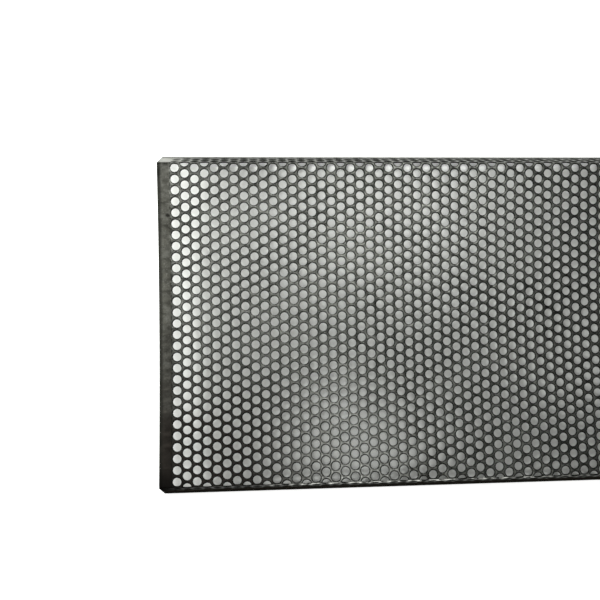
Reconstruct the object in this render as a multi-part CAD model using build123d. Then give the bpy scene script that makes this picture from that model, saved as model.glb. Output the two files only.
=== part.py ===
from build123d import *
import math
import os

# A perforated steel sheet that lies face up on its two folded long edges.
# +X runs along the length and +Y across the width. Z is up from the surface it rests on.
# Girth is the distance over the top surface from the middle of the face, with the bends as sharp corners.

# The sheet
sheet_length = 500.0
sheet_thickness = 1.0
face_width = 232.0          # over the face, from one bend line to the other
flange_depth = 26.5         # down the slope, from a bend line to the free edge
flange_splay = 23.0         # degrees that each flange leans outwards from upright
bend_radius = 1.0           # inside each bend

# The face sags as a shallow trough, made of flat strips that follow its radius
trough_radius = 1080.0
strip_width = 32.0

# Round holes in columns across the sheet, each staggered by half a pitch from the one before
hole_diameter = 6.0
hole_pitch = 8.0            # between the hole centres of one column
column_step = 7.06          # from one column to the next
first_column_inset = 12.5   # from the -X end to the first hole centres
end_margin = 12.5           # least distance from the last hole centres to the +X end
edge_margin = 10.0          # least distance from hole centres to a free edge
punch_overrun = 0.5         # how far a cutter reaches past each side of the metal

hole_radius = hole_diameter / 2
half_face = face_width / 2
half_girth = half_face + flange_depth
strip_turn = math.degrees(strip_width / trough_radius)
creases_each_side = math.floor(half_face / strip_width)
crease_girths = [(number + 0.5) * strip_width for number in range(creases_each_side)]
corner_girths = crease_girths + [half_face, half_girth]
slopes = [number * strip_turn for number in range(creases_each_side + 1)] + [flange_splay - 90]


def step(point, slope, distance):
    """A (y, z) point moved a distance up a slope in degrees."""
    angle = math.radians(slope)
    return point[0] + distance * math.cos(angle), point[1] + distance * math.sin(angle)


def top_surface(girth):
    """The (y, z) of the top surface at a girth on the +Y side, and its slope there."""
    point, start = (0.0, 0.0), 0.0
    for end, slope in zip(corner_girths, slopes):
        point = step(point, slope, min(girth, end) - start)
        if girth <= end:
            break
        start = end
    return point, slope


def underside_corners():
    """The (y, z) of the underside's corners on the +Y side, each square below a top corner."""
    corners = []
    for girth, before, after in zip(corner_girths, slopes, slopes[1:] + slopes[-1:]):
        point, _ = top_surface(girth)
        depth = sheet_thickness / math.cos(math.radians(before - after) / 2)
        corners.append(step(point, (before + after) / 2 - 90, depth))
    return corners


rest_height = -underside_corners()[-1][1]


def folded_blank():
    """The sheet before it is punched: its section with rounded bends, drawn out along the length."""
    top = [top_surface(girth)[0] for girth in corner_girths]
    under = underside_corners()
    ring = top + under[::-1] + [(-y, z) for y, z in under] + [(-y, z) for y, z in top[::-1]]
    with BuildPart() as blank:
        with BuildSketch(Plane.YZ.offset(-sheet_length / 2)) as section:
            with BuildLine():
                Polyline([(y, z + rest_height) for y, z in ring], close=True)
            make_face()
            for corner, radius in ((top[-2], bend_radius + sheet_thickness), (under[-2], bend_radius)):
                for side in (-1, 1):
                    place = (side * corner[0], corner[1] + rest_height)
                    fillet(section.vertices().sort_by_distance(place)[0], radius)
        extrude(amount=sheet_length)
    return blank.part


def punch(girth):
    """A cutter for the hole at a girth. Over a bend the round hole is squeezed to its chord."""
    (near_y, near_z), near_slope = top_surface(girth - hole_radius)
    (far_y, far_z), far_slope = top_surface(girth + hole_radius)
    half_turn = math.radians(abs(near_slope - far_slope)) / 2
    chord = math.hypot(far_y - near_y, far_z - near_z)
    middle = (0, (near_y + far_y) / 2, (near_z + far_z) / 2 + rest_height)
    outward = (0, near_z - far_z, far_y - near_y)
    above = hole_radius * math.sin(half_turn) + punch_overrun
    below = sheet_thickness / math.cos(half_turn) + punch_overrun
    rim = Circle(hole_radius) if math.isclose(chord, hole_diameter, rel_tol=1e-3) else Ellipse(hole_radius, chord / 2)
    floor = Plane(origin=middle, x_dir=(1, 0, 0), z_dir=outward).offset(-below)
    return extrude(floor * rim, amount=above + below)


def column_cutters(first_girth):
    """The cutters of one column at X = 0, from the middle of the face out to both free edges."""
    rows = math.floor((half_girth - edge_margin - first_girth) / hole_pitch) + 1
    cutters = []
    for row in range(rows):
        girth = first_girth + row * hole_pitch
        cutters.append(punch(girth))
        if girth > 0:
            cutters.append(mirror(cutters[-1], about=Plane.XZ))
    return cutters


def all_cutters():
    """The cutters of every column, along the whole sheet."""
    columns = math.floor((sheet_length - first_column_inset - end_margin) / column_step) + 1
    kinds = [column_cutters(0), column_cutters(hole_pitch / 2)]
    cutters = []
    for column in range(columns):
        x = first_column_inset + column * column_step - sheet_length / 2
        cutters.extend(Pos(x, 0, 0) * cutter for cutter in kinds[column % 2])
    return cutters


os.makedirs("parts", exist_ok=True)
perforated_sheet = folded_blank() - all_cutters()
perforated_sheet.label = "perforated_sheet"
export_step(perforated_sheet, "parts/perforated_sheet.step")
print("perforated_sheet", len(perforated_sheet.solids()), "solid,", round(perforated_sheet.volume), "mm3")
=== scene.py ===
# %% [markdown]
# # A perforated steel sheet, punched flat and then folded
# The real part is one sheet of mild steel. A press punches staggered round holes through it while
# it is flat, and a brake then folds its two long edges down. We follow the same order: a Geometry
# Nodes tree punches the flat blank, a few lines of Python fold it, and shader nodes give it the
# look of handled mill steel.

# %% Load the fixed frame
import math

import bmesh
import bpy
import numpy as np
from mathutils import Euler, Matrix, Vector


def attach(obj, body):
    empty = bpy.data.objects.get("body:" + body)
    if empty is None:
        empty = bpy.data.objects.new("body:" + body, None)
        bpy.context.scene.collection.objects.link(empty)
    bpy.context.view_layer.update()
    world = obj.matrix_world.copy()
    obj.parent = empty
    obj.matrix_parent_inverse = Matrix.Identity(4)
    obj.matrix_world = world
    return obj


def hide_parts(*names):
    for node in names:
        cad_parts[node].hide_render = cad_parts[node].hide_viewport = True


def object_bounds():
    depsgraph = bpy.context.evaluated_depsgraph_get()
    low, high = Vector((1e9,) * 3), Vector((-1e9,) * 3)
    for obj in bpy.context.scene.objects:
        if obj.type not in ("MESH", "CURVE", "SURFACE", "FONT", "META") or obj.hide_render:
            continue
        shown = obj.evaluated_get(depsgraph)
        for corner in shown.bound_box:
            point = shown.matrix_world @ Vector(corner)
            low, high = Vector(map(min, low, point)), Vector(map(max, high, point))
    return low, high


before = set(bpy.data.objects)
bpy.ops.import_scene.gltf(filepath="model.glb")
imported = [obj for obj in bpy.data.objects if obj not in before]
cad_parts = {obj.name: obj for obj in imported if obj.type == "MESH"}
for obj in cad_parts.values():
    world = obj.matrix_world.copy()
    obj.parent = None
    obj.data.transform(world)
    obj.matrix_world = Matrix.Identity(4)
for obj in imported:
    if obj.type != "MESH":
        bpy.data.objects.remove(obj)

solid_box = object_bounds()
solid_low, solid_high = (Vector(corner) for corner in solid_box)
print("frame box in mm:", [round(side * 1000, 2) for side in solid_high - solid_low])

# %% [markdown]
# ## Sizes, in metres
# Blender works in metres, so a millimetre gets a name of its own. The overall length comes from
# the frame that was loaded; the sizes of the punch pattern and of the section are the ones that
# the sheet was designed with. "Girth" is the distance over the top surface from the middle line,
# which is what a sheet-metal worker marks out before any bend is made.

# %% Sizes of the sheet and its holes
mm = 0.001
sheet_length = solid_high.x - solid_low.x
sheet_thickness = 1.0 * mm
half_face = 116.0 * mm
flange_depth = 26.5 * mm
half_girth = half_face + flange_depth
flange_slope = math.radians(23.0 - 90.0)
inner_bend_radius = 1.0 * mm
trough_radius = 1080.0 * mm
trough_reach = 96.0 * mm

hole_radius = 3.0 * mm
hole_sides = 12
hole_pitch = 8.0 * mm
column_step = 7.06 * mm
first_column_inset = 12.5 * mm
columns_of_each_kind = 34
rows = 33

print("blank in mm:", round(sheet_length / mm, 1), "by", round(2 * half_girth / mm, 1))

# %% [markdown]
# ## One helper for every node
# Geometry trees and shader trees are both made of nodes with options, input values and links.
# One small function covers all three, so the cells below read as a list of steps. Where a value is
# a socket it is linked, where it is a list of sockets they are all linked, and otherwise it is set.
# A socket knows the tree that it belongs to, and the sums and masks further on make use of that.

# %% A helper that adds a node
def add_node(tree, kind, options=None, inputs=None):
    """Adds a node with its options, and sets or links its inputs by name or number."""
    made = tree.nodes.new(kind)
    for option, value in (options or {}).items():
        setattr(made, option, value)
    for key, value in (inputs or {}).items():
        socket = made.inputs[key]
        sources = value if isinstance(value, list) else [value]
        if isinstance(sources[0], bpy.types.NodeSocket):
            for source in sources:
                tree.links.new(source, socket)
        else:
            socket.default_value = value
    return made


# %% [markdown]
# Sizes, masks and mixes all need sums. `reckon` writes one out in nodes and hands back the socket
# of its result, and `between` eases a value from one range into another: into a soft mask of 0 to 1
# if nothing else is asked. The punch, the finishes, the paper and the room share both of them.

# %% Sums and soft masks, in any tree
def reckon(operation, first, *others):
    """The socket of a sum over two or more values, or over one, for an operation such as ABSOLUTE."""
    for other in others or (0.0,):
        tree = (first if isinstance(first, bpy.types.NodeSocket) else other).id_data
        first = add_node(tree, "ShaderNodeMath", {"operation": operation}, {0: first, 1: other}).outputs[0]
    return first


def between(value, low, high, to_low=0.0, to_high=1.0):
    """The value's way from low to high, eased, as a number from to_low to to_high."""
    return add_node(value.id_data, "ShaderNodeMapRange", {"interpolation_type": "SMOOTHSTEP"}, {
        "Value": value, "From Min": low, "From Max": high, "To Min": to_low, "To Max": to_high,
    }).outputs[0]


# %% [markdown]
# ## Punching the flat blank
# More than two thousand holes repeat by a rule, so they are Geometry Nodes work. The punch pattern
# is two grids of points: one for the first, third, fifth column and so on, and one for the columns
# between them, moved half a pitch. Each hole is a small circle curve on a point. Together with the
# outline of the blank, **Fill Curve** turns them into a flat face with every hole left open, which
# is far lighter and cleaner than thousands of Boolean cuts.
#
# A punch does not leave a knife-sharp rim: it pulls the top skin down into the hole for a fraction
# of a millimetre before it shears. So each hole is lined with a short cone, for that roll-over, and
# a cylinder, for the sheared wall. Twelve sides are enough for a 6 mm hole, if the polygon is made
# a little larger so that its area is the same as the circle's.

# %% Names of the tree's inputs
punch_inputs = {
    "Length": sheet_length,
    "Girth": 2 * half_girth,
    "Thickness": sheet_thickness,
    "Hole radius": hole_radius * math.sqrt(2 * math.pi / (hole_sides * math.sin(2 * math.pi / hole_sides))),
    "Hole pitch": hole_pitch,
    "Column step": column_step,
    "First column inset": first_column_inset,
    "Roll-over width": 0.35 * mm,
    "Roll-over depth": 0.20 * mm,
}
punch_counts = {
    "Columns of each kind": columns_of_each_kind,
    "Rows": rows,
    "Hole sides": hole_sides,
    "Edge cuts": 35,
}

punch = bpy.data.node_groups.new("punch_blank", "GeometryNodeTree")
for name in punch_inputs:
    punch.interface.new_socket(name=name, in_out="INPUT", socket_type="NodeSocketFloat")
for name in punch_counts:
    punch.interface.new_socket(name=name, in_out="INPUT", socket_type="NodeSocketInt")
punch.interface.new_socket(name="Material", in_out="INPUT", socket_type="NodeSocketMaterial")
punch.interface.new_socket(name="Geometry", in_out="OUTPUT", socket_type="NodeSocketGeometry")
given = punch.nodes.new("NodeGroupInput").outputs
print("punch tree inputs:", len(given) - 1)


# %% [markdown]
# The pattern comes first. Both grids are laid by the same loop. The second starts one column
# further along and has one more row, which moves all its rows by half a pitch.

# %% The punch pattern: two staggered grids of points
double_step = reckon("MULTIPLY", given["Column step"], 2.0)
pattern_length = reckon("MULTIPLY", double_step, reckon("SUBTRACT", given["Columns of each kind"], 1.0))
first_column = reckon("SUBTRACT", given["First column inset"], reckon("DIVIDE", given["Length"], 2.0))
grid_middle = reckon("ADD", first_column, reckon("DIVIDE", pattern_length, 2.0))
columns = []
for extra_rows, shift in ((0.0, 0.0), (1.0, 1.0)):
    row_count = reckon("ADD", given["Rows"], extra_rows)
    grid = add_node(punch, "GeometryNodeMeshGrid", inputs={
        "Size X": pattern_length,
        "Size Y": reckon("MULTIPLY", given["Hole pitch"], reckon("SUBTRACT", row_count, 1.0)),
        "Vertices X": given["Columns of each kind"],
        "Vertices Y": row_count,
    })
    x = reckon("ADD", grid_middle, reckon("MULTIPLY", given["Column step"], shift))
    place = add_node(punch, "ShaderNodeCombineXYZ", inputs={"X": x})
    moved = add_node(punch, "GeometryNodeTransform", inputs={
        "Geometry": grid.outputs["Mesh"], "Translation": place.outputs[0],
    })
    columns.append(moved.outputs[0])
pattern = add_node(punch, "GeometryNodeJoinGeometry", inputs={"Geometry": columns}).outputs[0]
print("holes to punch:", columns_of_each_kind * (2 * rows + 1))

# %% [markdown]
# The blank has two skins, one on top and one a thickness below. Each is the outline with every
# hole's circle in it, filled. On top the circles are wider by the roll-over of the rim.

# %% The two skins of the blank
outline = add_node(punch, "GeometryNodeCurvePrimitiveQuadrilateral", inputs={
    "Width": given["Length"], "Height": given["Girth"],
})
outline = add_node(punch, "GeometryNodeSubdivideCurve", inputs={
    "Curve": outline.outputs[0], "Cuts": given["Edge cuts"],
}).outputs[0]


def raised(geometry, height):
    """The geometry moved up or down by a height socket."""
    lift = add_node(punch, "ShaderNodeCombineXYZ", inputs={"Z": height})
    return add_node(punch, "GeometryNodeTransform", inputs={
        "Geometry": geometry, "Translation": lift.outputs[0],
    }).outputs[0]


def skin(radius):
    """The blank's outline with a hole of this radius at each point of the pattern, as a flat face."""
    circle = add_node(punch, "GeometryNodeCurvePrimitiveCircle", inputs={
        "Resolution": given["Hole sides"], "Radius": radius,
    })
    circles = add_node(punch, "GeometryNodeInstanceOnPoints", inputs={
        "Points": pattern, "Instance": circle.outputs[0],
    })
    drawn = add_node(punch, "GeometryNodeJoinGeometry", inputs={"Geometry": [outline, circles.outputs[0]]})
    loose = add_node(punch, "GeometryNodeRealizeInstances", inputs={"Geometry": drawn.outputs[0]})
    return add_node(punch, "GeometryNodeFillCurve", inputs={"Curve": loose.outputs[0]}).outputs[0]


rolled_radius = reckon("ADD", given["Hole radius"], given["Roll-over width"])
underneath = reckon("MULTIPLY", given["Thickness"], -1.0)
top_skin = skin(rolled_radius)
under_skin = raised(skin(given["Hole radius"]), underneath)
print("punch tree nodes so far:", len(punch.nodes))

# %% [markdown]
# What joins the skins is the cut metal: a cone and a cylinder in each hole, and a strip all round
# the outline. A cone between two radii is the roll-over, and an open cylinder is the wall.

# %% The lining of each hole, and the sheared edge of the blank
roll_over = add_node(punch, "GeometryNodeMeshCone", {"fill_type": "NONE"}, {
    "Vertices": given["Hole sides"],
    "Radius Top": rolled_radius,
    "Radius Bottom": given["Hole radius"],
    "Depth": given["Roll-over depth"],
})
roll_bottom = reckon("MULTIPLY", given["Roll-over depth"], -1.0)
wall_height = reckon("SUBTRACT", given["Thickness"], given["Roll-over depth"])
wall = add_node(punch, "GeometryNodeMeshCylinder", {"fill_type": "NONE"}, {
    "Vertices": given["Hole sides"],
    "Radius": given["Hole radius"],
    "Depth": wall_height,
})
wall_middle = reckon("DIVIDE", reckon("ADD", underneath, roll_bottom), 2.0)
lining = add_node(punch, "GeometryNodeJoinGeometry", inputs={"Geometry": [
    raised(roll_over.outputs["Mesh"], roll_bottom),
    raised(wall.outputs["Mesh"], wall_middle),
]})
edge_line = add_node(punch, "GeometryNodeCurveToMesh", inputs={"Curve": outline})
straight_down = add_node(punch, "ShaderNodeCombineXYZ", inputs={"Z": underneath})
sheared_edge = add_node(punch, "GeometryNodeExtrudeMesh", {"mode": "EDGES"}, {
    "Mesh": edge_line.outputs[0],
    "Offset": straight_down.outputs[0],
    "Offset Scale": 1.0,
})

# %% [markdown]
# The finish has to know where the metal was cut, because there is no mill skin there. An attribute
# on those faces tells it. It is stored before the lining is put in each hole, so once is enough.

# %% Mark the cut metal, and put a lining in each hole
def marked(geometry):
    """The geometry with its faces marked as cut metal, for the steel's material to read."""
    return add_node(punch, "GeometryNodeStoreNamedAttribute", {"data_type": "FLOAT", "domain": "FACE"}, {
        "Geometry": geometry, "Name": "cut_metal", "Value": 1.0,
    }).outputs[0]


cut_lining = marked(lining.outputs[0])
linings = add_node(punch, "GeometryNodeInstanceOnPoints", inputs={"Points": pattern, "Instance": cut_lining})

# %% [markdown]
# All parts are joined, made real and merged where they touch. A Set Material node gives the shell
# its steel, since a mesh that is made inside a tree starts without one.

# %% Join the skins, linings and edge into one closed shell
shell = add_node(punch, "GeometryNodeJoinGeometry", inputs={"Geometry": [
    top_skin, under_skin, linings.outputs[0], marked(sheared_edge.outputs["Mesh"]),
]})
real = add_node(punch, "GeometryNodeRealizeInstances", inputs={"Geometry": shell.outputs[0]})
merged = add_node(punch, "GeometryNodeMergeByDistance", inputs={
    "Geometry": real.outputs[0], "Distance": 0.01 * mm,
})
coated = add_node(punch, "GeometryNodeSetMaterial", inputs={
    "Geometry": merged.outputs[0], "Material": given["Material"],
})
add_node(punch, "NodeGroupOutput", inputs={"Geometry": coated.outputs[0]})
print("punch tree nodes:", len(punch.nodes))

# %% [markdown]
# The tree needs an object to run on, so an empty carrier holds it. Its inputs are set by their
# identifiers before it is first evaluated. The result is copied to a plain mesh, and the carrier,
# with its modifier, is thrown away.

# %% Run the punch on an empty carrier and keep the result as a plain mesh
steel = bpy.data.materials.new("oiled_mild_steel")
carrier = bpy.data.objects.new("blank_carrier", bpy.data.meshes.new("blank_carrier"))
bpy.context.scene.collection.objects.link(carrier)
modifier = carrier.modifiers.new("punch", "NODES")
modifier.node_group = punch
identifiers = {item.name: item.identifier for item in punch.interface.items_tree if item.in_out == "INPUT"}
for name, value in {**punch_inputs, **punch_counts, "Material": steel}.items():
    modifier[identifiers[name]] = value
evaluated = carrier.evaluated_get(bpy.context.evaluated_depsgraph_get())
blank = bpy.data.meshes.new_from_object(evaluated)
bpy.data.objects.remove(carrier)
triangles = sum(len(face.vertices) - 2 for face in blank.polygons)
print("flat blank:", len(blank.vertices), "vertices,", triangles, "triangles")

# %% [markdown]
# ## Folding the blank
# On the real sheet the brake comes after the punch, so every hole near a bend goes round it. A flat
# triangle can't bend, so the mesh is first scored: `bisect_plane` cuts it along five lines across
# each bend. Then every vertex is moved by one rule. A point of the flat blank has a girth and a
# depth below the top skin; the rule finds where that girth lies on the folded section, and which
# way is square to the metal there. Where each vertex lay on the flat blank is kept as an attribute,
# so that the finish can later follow the punch pattern round the bends.

# %% The section as a rule: where a girth lies, and how steep the metal is there
trough_slope = trough_reach / trough_radius
turn = trough_slope - flange_slope
outer_bend_radius = inner_bend_radius + sheet_thickness
bend_reach = outer_bend_radius * math.tan(turn / 2)
bend_start = half_face - bend_reach
bend_end = half_face + bend_reach


def go(point, slope, distance):
    """A (y, z) point moved along a slope. Arrays are welcome."""
    return point[0] + distance * np.cos(slope), point[1] + distance * np.sin(slope)


def folded(girth, depth):
    """The (y, z) of points on the +Y side, from their girth and their depth below the top skin."""
    curved = np.minimum(girth, trough_reach) / trough_radius
    place = trough_radius * np.sin(curved), trough_radius * (1 - np.cos(curved))
    place = go(place, trough_slope, np.clip(girth - trough_reach, 0, bend_start - trough_reach))
    bent = np.clip((girth - bend_start) / (bend_end - bend_start), 0, 1) * turn
    chord = 2 * outer_bend_radius * np.sin(bent / 2)
    place = go(place, trough_slope - bent / 2, chord)
    place = go(place, flange_slope, np.maximum(girth - bend_end, 0))
    steepness = np.where(girth < trough_reach, curved, trough_slope) - bent
    return go(place, steepness + math.pi / 2, depth)


print("bend turns", round(math.degrees(turn), 1), "degrees in", round(2 * bend_reach / mm, 2), "mm of girth")

# %% [markdown]
# The scoring lines lie across each bend, at its start, its end and three places between. Cutting
# leaves faces of many sides, which would fold badly, so all faces are split into triangles.

# %% Score the mesh along each bend
scored = bmesh.new()
scored.from_mesh(blank)
for sign in (-1, 1):
    for share in (-1, -0.5, 0, 0.5, 1):
        line = sign * (half_face + share * bend_reach)
        everything = scored.verts[:] + scored.edges[:] + scored.faces[:]
        cut = {"plane_co": (0, line, 0), "plane_no": (0, 1, 0), "dist": 0.001 * mm}
        bmesh.ops.bisect_plane(scored, geom=everything, **cut)
bmesh.ops.triangulate(scored, faces=scored.faces[:])
scored.to_mesh(blank)
scored.free()
print("scored:", len(blank.vertices), "vertices,", len(blank.polygons), "triangles")

# %% [markdown]
# Folding is then one sum over all vertices at once. The sheet is set down so that its lowest point,
# the free edge of the flanges, is at the height where the frame stands.

# %% Fold it, and set it down on the surface
flat = np.empty(3 * len(blank.vertices))
blank.vertices.foreach_get("co", flat)
flat = flat.reshape(-1, 3)
side = np.sign(flat[:, 1])
y, z = folded(np.abs(flat[:, 1]), flat[:, 2])
shaped = np.column_stack((flat[:, 0], side * y, z - z.min() + solid_low.z))
blank.vertices.foreach_set("co", shaped.ravel())
blank.attributes.new("flat_place", "FLOAT_VECTOR", "POINT").data.foreach_set("vector", flat.ravel())
blank.update()
print("folded size in mm:", np.round((shaped.max(axis=0) - shaped.min(axis=0)) / mm, 2))

# %% [markdown]
# Recalculating the normals turns every face of the closed shell outwards. Smooth shading is then
# kept only where faces meet gently, as round a bend, and every rim stays crisp.

# %% Outward faces, smooth bends and crisp rims
tidy = bmesh.new()
tidy.from_mesh(blank)
bmesh.ops.recalc_face_normals(tidy, faces=tidy.faces[:])
open_edges = sum(len(edge.link_faces) != 2 for edge in tidy.edges)
tidy.to_mesh(blank)
tidy.free()
blank.shade_smooth()
blank.set_sharp_from_angle(angle=math.radians(31))
sheet = bpy.data.objects.new("punched_sheet", blank)
bpy.context.scene.collection.objects.link(sheet)
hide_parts("perforated_sheet")
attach(sheet, "root")
print("open edges:", open_edges)

# %% [markdown]
# ## Mild steel, cold rolled and left oily
# The real sheet is mild steel as it left the mill: rolled smooth, punched, and never painted. Rolling
# leaves fine lines along the sheet, and the oil that keeps it from rusting dries into an uneven film.
# To the eye that is a dark, neutral grey metal with soft clouds and a slightly uneven gloss. Its colour
# also carries painted sheen and glints in some places and painted shade in others.
#
# One flat colour can't do that. We could paint an image, but an image has one resolution and needs an
# unwrapped mesh. Noise on Object coordinates has neither problem, and lets every size be written in
# millimetres, so the pattern stays right however close the camera comes.

# %% Colours from hex values
def linear(hex_colour):
    """A linear RGBA colour from an sRGB hex value such as 4a4a46."""
    channels = [int(hex_colour[i:i + 2], 16) / 255 for i in (0, 2, 4)]
    return tuple(c / 12.92 if c <= 0.04045 else ((c + 0.055) / 1.055) ** 2.4 for c in channels) + (1.0,)


steel.use_nodes = True
finish = steel.node_tree
steel_shader = finish.nodes["Principled BSDF"]
clean_steel, oily_steel = "6c6e68", "50524d"
print("clean steel, linear:", [round(channel, 3) for channel in linear(clean_steel)[:3]])

# %% [markdown]
# Every pattern starts from the same point: the place on the sheet in millimetres. `unevenness` is
# noise of a given size in millimetres, which can be stretched along the sheet.

# %% Points in millimetres, and noise of a real size
to_mm = (1 / mm, 1 / mm, 1 / mm)
object_point = add_node(finish, "ShaderNodeTexCoord").outputs["Object"]
place_mm = add_node(finish, "ShaderNodeMapping", inputs={"Vector": object_point, "Scale": to_mm}).outputs[0]
along_mm, across_mm, height_mm = add_node(finish, "ShaderNodeSeparateXYZ", inputs={0: place_mm}).outputs
from_mid_length = reckon("ABSOLUTE", along_mm)


def unevenness(size, detail=2.0, stretch=1.0, shift=0.0):
    """Noise whose lumps are `size` millimetres wide, and `stretch` times as long along the sheet."""
    spot = add_node(finish, "ShaderNodeMapping", inputs={
        "Vector": place_mm,
        "Scale": (1 / (size * stretch), 1 / size, 1 / size),
        "Location": (shift, shift, 0.0),
    })
    return add_node(finish, "ShaderNodeTexNoise", inputs={
        "Vector": spot.outputs[0], "Scale": 1.0, "Detail": detail,
    }).outputs[0]


# %% [markdown]
# ### Clouds, mottling and grain
# Three sizes of unevenness lie over each other: clouds about 60 mm across where the oil dried
# thicker, mottling of 5 mm that the mill's pickling leaves, and a grain. The real grain is about
# 0.2 mm, too fine to show from where such a sheet is looked at, so it is drawn at 1.1 mm. `tinted`
# lays one more colour over the steel, and the strength says how much of it covers at most.

# %% Three sizes of unevenness
clouds = unevenness(60.0, detail=3.0)
mottling = unevenness(5.0, detail=2.0, stretch=1.6)
grain = unevenness(1.1, detail=3.0)
rolling_lines = unevenness(1.4, detail=2.0, stretch=40.0)


def tinted(under, hex_colour, mask, strength=1.0):
    """The colour `under`, with another laid over it where the mask is 1, at most at this strength."""
    return add_node(finish, "ShaderNodeMix", {"data_type": "RGBA"}, {
        0: reckon("MULTIPLY", mask, strength), 6: under, 7: linear(hex_colour),
    }).outputs[2]


pale_mottles, dark_mottles = between(mottling, 0.50, 0.70), between(mottling, 0.46, 0.30)
bright_grain, dark_grain = between(grain, 0.56, 0.72), between(grain, 0.46, 0.30)
skin_colour = tinted(linear(oily_steel), clean_steel, between(clouds, 0.40, 0.60))
for hex_colour, mask, strength in (
    ("999b94", pale_mottles, 0.55),
    ("2a2b28", dark_mottles, 0.45),
    ("b2b4ad", bright_grain, 0.45),
    ("252623", dark_grain, 0.60),
):
    skin_colour = tinted(skin_colour, hex_colour, mask, strength)
print("shader nodes so far:", len(finish.nodes))

# %% [markdown]
# ### The plain margins
# Past the last column at each end the sheet is plain. No punch has touched it there, so its oil film
# is even and a little warmer in tone.

# %% Margins
past_holes_mm = (sheet_length / 2 - first_column_inset + hole_radius) / mm
margin = between(from_mid_length, past_holes_mm, past_holes_mm + 1.5)
skin_colour = tinted(skin_colour, "54534b", margin, 0.62)
print("margins begin", round(past_holes_mm, 1), "mm from mid length")

# %% [markdown]
# ### Painted sheen, painted shade, and spilt oil
# Some marks have a place of their own. `smudge` makes a soft spot at a place on the sheet, in
# millimetres from its middle. Its edge is frayed by noise, so that no spot looks like an ellipse.
# The marks are laid on one after the other: a patch painted brighter as a painted sheen, painted shade
# in brown-black over the near corner, painted shade further along, where the steel shows darker, and
# painted shade beside the far flange, which dims a lamp's highlight there. Spilt oil dried black in
# two small spots of the margin, and in a thin line along the sheared ends, where it clings to the burr.

# %% Painted sheen, painted shade and spilt oil
fray = unevenness(22.0, detail=3.0, shift=40.0)


def smudge(x, y, half_length, half_width):
    """A mask of 1 at the middle of a soft, frayed spot, and 0 outside it."""
    spot = add_node(finish, "ShaderNodeMapping", inputs={
        "Vector": place_mm,
        "Scale": (1 / half_length, 1 / half_width, 0.0),
        "Location": (-x / half_length, -y / half_width, 0.0),
    })
    away = add_node(finish, "ShaderNodeVectorMath", {"operation": "LENGTH"}, {0: spot.outputs[0]})
    return between(reckon("ADD", away.outputs["Value"], reckon("MULTIPLY", fray, 0.9)), 1.6, 0.7)


# A painted sheen.
painted_sheen_patch = smudge(-123.0, -92.0, 59.0, 62.0)
# Painted shade over the near corner.
painted_corner_shade = smudge(-222.0, -108.0, 106.0, 110.0)
# Painted shade further along, where the steel shows darker.
painted_shade_further = smudge(85.0, 0.0, 95.0, 210.0)
# Painted shade beside the far flange, dimming a lamp's highlight there.
painted_shade_far_edge = smudge(-115.0, 112.0, 115.0, 44.0)
dried_spots = reckon("MAXIMUM", smudge(-243.0, 78.0, 2.2, 1.8), smudge(-250.0, 108.0, 2.5, 6.0))
oily_end = between(reckon("ADD", from_mid_length, reckon("MULTIPLY", fray, 3.0)), 248.2, 250.2)
# The first four colours are a painted sheen and painted shade; the last two are spilt oil.
for hex_colour, mask, strength in (
    ("d4d6cf", painted_sheen_patch, 0.42),
    ("231f1c", painted_corner_shade, 0.92),
    ("2e302c", painted_shade_further, 0.32),
    ("2e302c", painted_shade_far_edge, 0.55),
    ("171614", dried_spots, 0.80),
    ("1b1c19", oily_end, 0.70),
):
    skin_colour = tinted(skin_colour, hex_colour, mask, strength)
print("shader nodes so far:", len(finish.nodes))

# %% [markdown]
# ### A ring of painted shade round every hole
# The punch pulls the skin down at the rim, and that hollow and the wall below it lie in shade, so each
# hole gets a ring of painted shade nearly a millimetre wide. The ring must sit exactly where the holes
# are. The pattern is two grids of holes, so the shader folds the flat place of a point into one cell of
# each grid, with **Wrap**, and takes the shorter of the two distances to a hole's middle. The grids go
# on past the sheet's ends in the sums, so a last mask keeps the rings out of the plain margins.

# %% Distance from the nearest hole, and the ring of painted shade
flat_point = add_node(finish, "ShaderNodeAttribute", {"attribute_name": "flat_place"}).outputs["Vector"]
half_cell = (column_step / mm, hole_pitch / 2 / mm, 5e5)
below_half_cell = [-side for side in half_cell]
reaches = []
for shift in (0, 1):
    first_hole = (-sheet_length / 2 + first_column_inset + shift * column_step, shift * hole_pitch / 2, 0.0)
    from_hole = add_node(finish, "ShaderNodeVectorMath", {"operation": "SUBTRACT"}, {
        0: flat_point, 1: first_hole,
    })
    in_mm = add_node(finish, "ShaderNodeVectorMath", {"operation": "MULTIPLY"}, {
        0: from_hole.outputs[0], 1: (1 / mm, 1 / mm, 0.0),
    })
    in_cell = add_node(finish, "ShaderNodeVectorMath", {"operation": "WRAP"}, {
        0: in_mm.outputs[0], 1: half_cell, 2: below_half_cell,
    })
    reach = add_node(finish, "ShaderNodeVectorMath", {"operation": "LENGTH"}, {0: in_cell.outputs[0]})
    reaches.append(reach.outputs["Value"])
from_middle = reckon("MINIMUM", *reaches)
in_pattern = between(from_mid_length, past_holes_mm + 1.2, past_holes_mm + 0.6)
painted_rim_shade = between(reckon("ADD", from_middle, reckon("MULTIPLY", grain, 0.5)), 4.25, 3.75)
# Painted shade round each hole's rim.
skin_colour = tinted(skin_colour, "1b1c19", reckon("MULTIPLY", painted_rim_shade, in_pattern), 0.75)
print("cell of each grid in mm:", [round(2 * side, 2) for side in half_cell[:2]])

# %% [markdown]
# ### Specks, and painted shade on the sheared metal
# Grit pressed in at the mill leaves dark specks about a millimetre wide, here one to every cell of
# 16 mm in which the noise allows it. Where the punch and the shear cut through the sheet there is no
# oil film, only torn metal. It is painted dark, as painted shade for the walls of the holes, which face
# each other, and the sheared edge of the blank gets the same. The punch tree marked those faces with an
# attribute of their own.

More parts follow.
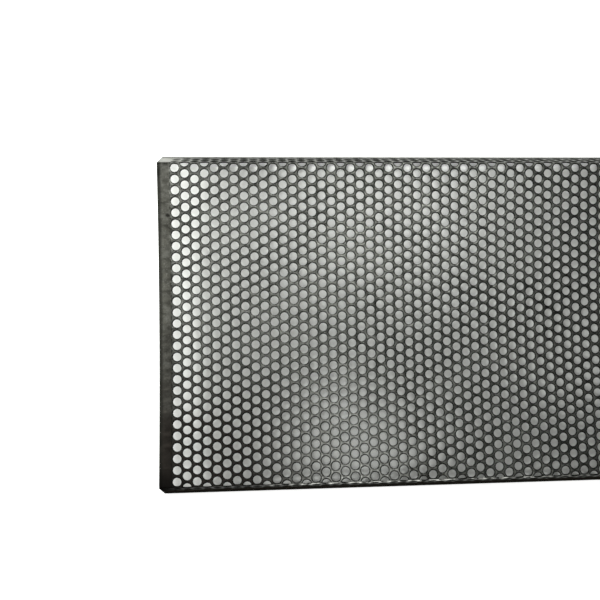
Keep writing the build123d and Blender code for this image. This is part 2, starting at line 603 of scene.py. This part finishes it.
# %% Specks, and painted shade on the cut metal
cells = add_node(finish, "ShaderNodeTexVoronoi", {"voronoi_dimensions": "3D"}, {
    "Vector": place_mm, "Scale": 1 / 16.0,
})
allowed = between(unevenness(40.0, shift=9.0), 0.45, 0.55)
specks = reckon("MULTIPLY", between(cells.outputs["Distance"], 0.055, 0.030), allowed)
cut_metal = add_node(finish, "ShaderNodeAttribute", {"attribute_name": "cut_metal"}).outputs["Fac"]
skin_colour = tinted(skin_colour, "171614", specks)
# The cut metal is painted dark: painted shade in the walls of the holes.
skin_colour = tinted(skin_colour, "1e1f1c", cut_metal, 0.85)
print("shader nodes so far:", len(finish.nodes))

# %% [markdown]
# ### Painted shade on the flanges and along their foot, and a painted highlight
# The folded edges stand on the ground. The near flange is painted darker, as painted shade, and dust
# dulls it, and the far one less. Along the foot of both lies a dark band of painted shade. It climbs
# higher on the near flange, so its height leans a little across the sheet. Two corners differ: the end
# of the near flange is painted black, as painted shade, and across from there the corner of the far
# flange carries a painted highlight.

# %% Painted shade, dust and a painted highlight on the flanges
near_flange = between(across_mm, -115.5, -118.0)
far_flange = between(across_mm, 115.5, 118.0)
# Painted shade: the end of the near flange painted black.
painted_black_corner = smudge(-252.0, -122.0, 36.0, 20.0)
# A painted highlight on the end corner of the far flange.
painted_corner_highlight = reckon("MULTIPLY", far_flange, smudge(-252.0, 120.0, 24.0, 24.0))
lean = reckon("MULTIPLY", across_mm, 0.046)
# Painted shade along the foot of both flanges.
painted_foot_shade = between(reckon("ADD", height_mm, lean, reckon("MULTIPLY", mottling, 3.0)), 14.5, 9.5)
# Painted shade on the near flange and at its end, a painted highlight on the far corner, painted shade along
# the foot.
for hex_colour, mask, strength in (
    ("30312d", near_flange, 0.50),
    ("d4d6cf", painted_corner_highlight, 0.30),
    ("0f0e0d", painted_black_corner, 0.90),
    ("2b2823", painted_foot_shade, 0.85),
):
    skin_colour = tinted(skin_colour, hex_colour, mask, strength)
print("shader nodes so far:", len(finish.nodes))

# %% [markdown]
# ### Painted glints along the near bend
# The near bend stands proud. Along its middle stretch a bright line is painted into the colour, with a
# lower roughness: painted glints, where the bend catches the light. Noise of 6 mm breaks the line
# up, because a bend through a row of holes is never quite even. A mask on the distance from the bend
# is enough for this, with no geometry of its own.

# %% The painted glints of the bend
from_bend = reckon("ABSOLUTE", reckon("ADD", across_mm, half_face / mm + 0.2))
glint_breaks = between(unevenness(6.0, detail=2.0, shift=5.0), 0.46, 0.58)
glint_stretch = between(reckon("ABSOLUTE", reckon("ADD", along_mm, 70.0)), 115.0, 75.0)
painted_bend_glints = reckon("MULTIPLY", between(from_bend, 1.3, 0.4), glint_breaks, glint_stretch)
# A painted highlight: glints along the bend.
skin_colour = tinted(skin_colour, "d4d6cf", painted_bend_glints, 0.80)
print("shader nodes so far:", len(finish.nodes))

# %% [markdown]
# ### Gloss, and what is metal
# Bare steel is all metal to the shader: Metallic is 1, and the colour above is what it reflects. Its
# roughness, cold rolled, lies between 0.3 and 0.5: higher where it is mottled, lowest on the painted
# glints of the bend. Dust is no metal, and the painted shade of the flanges and corner counts with it.
# Where they lie, Metallic falls to 0 and the roughness rises, and the gloss that the shader gives to
# what is not metal is off. Without that, the steep flanges would mirror the white ground to anyone
# who looks along them.

# %% Gloss and metal
near_dust, far_dust = reckon("MULTIPLY", near_flange, 0.5), reckon("MULTIPLY", far_flange, 0.25)
# Dust, and the painted shade of the flanges, take away the metal and the gloss.
dust_and_painted_shade = reckon("MAXIMUM", painted_foot_shade, painted_black_corner, near_dust, far_dust)
gloss = between(reckon("ADD", mottling, reckon("MULTIPLY", grain, 0.5)), 0.55, 0.95, 0.36, 0.50)
gloss = reckon("ADD", gloss, reckon("MULTIPLY", dust_and_painted_shade, 0.35))
gloss = reckon("SUBTRACT", gloss, reckon("MULTIPLY", painted_bend_glints, 0.15))
bare_metal = reckon("MINIMUM", reckon("SUBTRACT", reckon("ADD", painted_bend_glints, 1.0), dust_and_painted_shade), 1.0)
steel_shader.inputs["Specular IOR Level"].default_value = 0.0
print("shader nodes so far:", len(finish.nodes))

# %% [markdown]
# ### Relief
# The relief has three parts, from coarse to fine, and each **Bump** node hands its normal on to the
# next. First the slow waves of a thin sheet that has been punched and carried about, 0.35 mm deep.
# Then the shoulder round each hole, where the punch pulled the skin down by 0.15 mm. Last the
# rolling lines and the grain, a few hundredths of a millimetre.

# %% Relief, and the steel wired up
waves = add_node(finish, "ShaderNodeBump", inputs={
    "Strength": 1.0, "Distance": 0.35 * mm, "Height": unevenness(34.0, detail=1.0),
})
shoulder = reckon("MAXIMUM", between(from_middle, 3.1, 4.0), reckon("SUBTRACT", 1.0, in_pattern))
shoulders = add_node(finish, "ShaderNodeBump", inputs={
    "Strength": 1.0, "Distance": 0.15 * mm, "Height": shoulder, "Normal": waves.outputs[0],
})
fine = reckon("ADD", reckon("MULTIPLY", rolling_lines, 0.5), grain)
fine_relief = add_node(finish, "ShaderNodeBump", inputs={
    "Strength": 1.0, "Distance": 0.045 * mm, "Height": fine, "Normal": shoulders.outputs[0],
})
for name, source in (
    ("Base Color", skin_colour),
    ("Metallic", bare_metal),
    ("Roughness", gloss),
    ("Normal", fine_relief.outputs[0]),
):
    finish.links.new(source, steel_shader.inputs[name])
print("shader nodes:", len(finish.nodes))

# %% [markdown]
# ## The paper it lies on
# A plain white paper shows the sheet best. A camera that is set for the dark sheet sees the paper
# round it as clean white, so the paper adds white of its own, but only to rays that come from the
# camera or a reflection. It lights nothing, and the sheet's shadow stays on it. Under the sheet there
# is none of it, only lit paper, so what shows through the holes is real light and shade. Between the
# two the white fades: quickly at the near flange, and over 14 or 15 mm at the other edges. Far from
# the sheet, where the lamps reach less, the paper's own white is full.

# %% The paper
half = 3.0
corners = [(-half, -half, 0), (half, -half, 0), (half, half, 0), (-half, half, 0)]
sheet_of_paper = bpy.data.meshes.new("paper")
sheet_of_paper.from_pydata(corners, [], [(0, 1, 2, 3)])
laid_paper = bpy.data.objects.new("paper", sheet_of_paper)
bpy.context.scene.collection.objects.link(laid_paper)
stock = bpy.data.materials.new("white_drawing_paper")
stock.use_nodes = True
pulp = stock.node_tree
paper_shader = pulp.nodes["Principled BSDF"]
paper_shader.inputs["Base Color"].default_value = linear("f2f4ef")
paper_shader.inputs["Roughness"].default_value = 0.9
paper_shader.inputs["Specular IOR Level"].default_value = 0.1
paper_shader.inputs["Emission Color"].default_value = (1, 1, 1, 1)
sheet_of_paper.materials.append(stock)
print("paper:", 2 * half, "m square")

# %% [markdown]
# Each edge of the sheet has a fade of its own, which begins under the sheet and ends outside it.
# The largest of them counts, and it shows only to the three kinds of ray that may see it.

# %% White of its own, outside the sheet
paper_point = add_node(pulp, "ShaderNodeTexCoord").outputs["Object"]
paper_xyz = add_node(pulp, "ShaderNodeSeparateXYZ", inputs={0: paper_point}).outputs
far_away = add_node(pulp, "ShaderNodeVectorMath", {"operation": "LENGTH"}, {0: paper_point}).outputs["Value"]
own_white = 0.8
white = reckon(
    "MAXIMUM",
    between(paper_xyz["Y"], solid_low.y + 1 * mm, solid_low.y - 1 * mm, 0.0, own_white),
    between(paper_xyz["Y"], solid_high.y - 11 * mm, solid_high.y + 3 * mm, 0.0, own_white),
    between(paper_xyz["X"], solid_low.x + 11 * mm, solid_low.x - 4 * mm, 0.0, own_white),
    between(paper_xyz["X"], solid_high.x - 11 * mm, solid_high.x + 4 * mm, 0.0, own_white),
    between(far_away, 0.35, 0.90, 0.0, 1.0),
)
paper_rays = add_node(pulp, "ShaderNodeLightPath").outputs
seeing = ("Is Camera Ray", "Is Glossy Ray", "Is Transmission Ray")
seen = reckon("MAXIMUM", *(paper_rays[kind] for kind in seeing))
pulp.links.new(reckon("MULTIPLY", seen, white), paper_shader.inputs["Emission Strength"])
print("paper nodes:", len(pulp.nodes))

# %% [markdown]
# ## Light
# Five soft lamps light it. The main one stands close over the far long edge, with a window a little
# higher behind it. Being close, it lights the paper under the far rows more than under the near
# ones. A low lamp off the near end slips under the raised end and through the holes at a slant, so
# the paper under the first columns is nearly white and gets darker further in, as it does under a
# real sheet. A lamp high in the ceiling sends light almost straight down, and is far and small
# enough to draw the shade of the holes' rims on the paper. A weak window beside it softens that.
#
# `softbox` works out a lamp's power from the share of white that it alone gives to paper at the lit
# point. The shares add up to about 1: plain light, at which a colour shows as it is written.

# %% Lamps
lit_point = Vector((-0.12, 0.0, 0.02))


def softbox(name, azimuth, elevation, distance, width, share):
    """A square lamp seen from the lit point at these angles in degrees, turned towards it."""
    around, up = math.radians(azimuth), math.radians(elevation)
    way = Vector((math.cos(around) * math.cos(up), math.sin(around) * math.cos(up), math.sin(up))) * distance
    lamp = bpy.data.lights.new(name, "AREA")
    lamp.shape = "SQUARE"
    lamp.size = width
    lamp.energy = share * math.pi ** 2 * distance ** 2 / math.sin(up)
    made = bpy.data.objects.new(name, lamp)
    made.location = lit_point + way
    made.rotation_euler = way.to_track_quat("Z", "Y").to_euler()
    bpy.context.scene.collection.objects.link(made)
    print(name, round(lamp.energy, 2), "W")


softbox("far_edge_lamp", 74, 43, 0.30, 0.12, 0.42)
softbox("far_edge_window", 70, 50, 0.45, 0.12, 0.18)
softbox("near_end_lamp", 165, 18, 0.45, 0.17, 0.27)
softbox("ceiling_lamp", 228, 76.5, 3.0, 0.32, 0.16)
softbox("ceiling_window", 300, 72, 1.10, 0.30, 0.06)

# %% [markdown]
# The room is dim overhead. Its walls are white to the camera, and in the steel's reflections they
# are pale near the ground and fade into the dim ceiling. Like the white of the paper, they are for
# the eye only and add nothing to the light on the sheet.

# %% The room
dim = 0.06
room = bpy.data.worlds.new("room")
bpy.context.scene.world = room
room.use_nodes = True
walls = room.node_tree
background = walls.nodes["Background"]
background.inputs["Color"].default_value = (1, 1, 1, 1)
direction = add_node(walls, "ShaderNodeTexCoord").outputs["Generated"]
height = add_node(walls, "ShaderNodeSeparateXYZ", inputs={0: direction}).outputs["Z"]
mirrored = between(height, 0.20, 0.50, 1.0, dim)
room_rays = add_node(walls, "ShaderNodeLightPath").outputs
in_mirror = reckon("MAXIMUM", room_rays["Is Glossy Ray"], room_rays["Is Transmission Ray"])
strength = add_node(walls, "ShaderNodeMix", {"data_type": "FLOAT"}, {0: in_mirror, 2: dim, 3: mirrored})
strength = add_node(walls, "ShaderNodeMix", {"data_type": "FLOAT"}, {
    0: room_rays["Is Camera Ray"], 2: strength.outputs[0], 3: 1.0,
})
walls.links.new(strength.outputs[0], background.inputs["Strength"])
print("light of the room on the sheet:", dim)

# %% [markdown]
# ## Camera
# A 36 mm lens on a 36 mm sensor, held 0.46 m above the ground and almost straight over the near end,
# so that the far end of the sheet runs out of the frame.

# %% Camera
camera_data = bpy.data.cameras.new("camera")
camera_data.sensor_width = 36.0
camera_data.lens = 36.0
camera = bpy.data.objects.new("camera", camera_data)
camera.location = (-0.1743, 0.0015, 0.4561)
camera.rotation_euler = Euler([math.radians(angle) for angle in (1.927, -3.375, -0.868)])
bpy.context.scene.collection.objects.link(camera)
bpy.context.scene.camera = camera
bpy.context.scene.view_settings.view_transform = "Standard"
print("camera height in mm:", round(camera.location.z / mm))
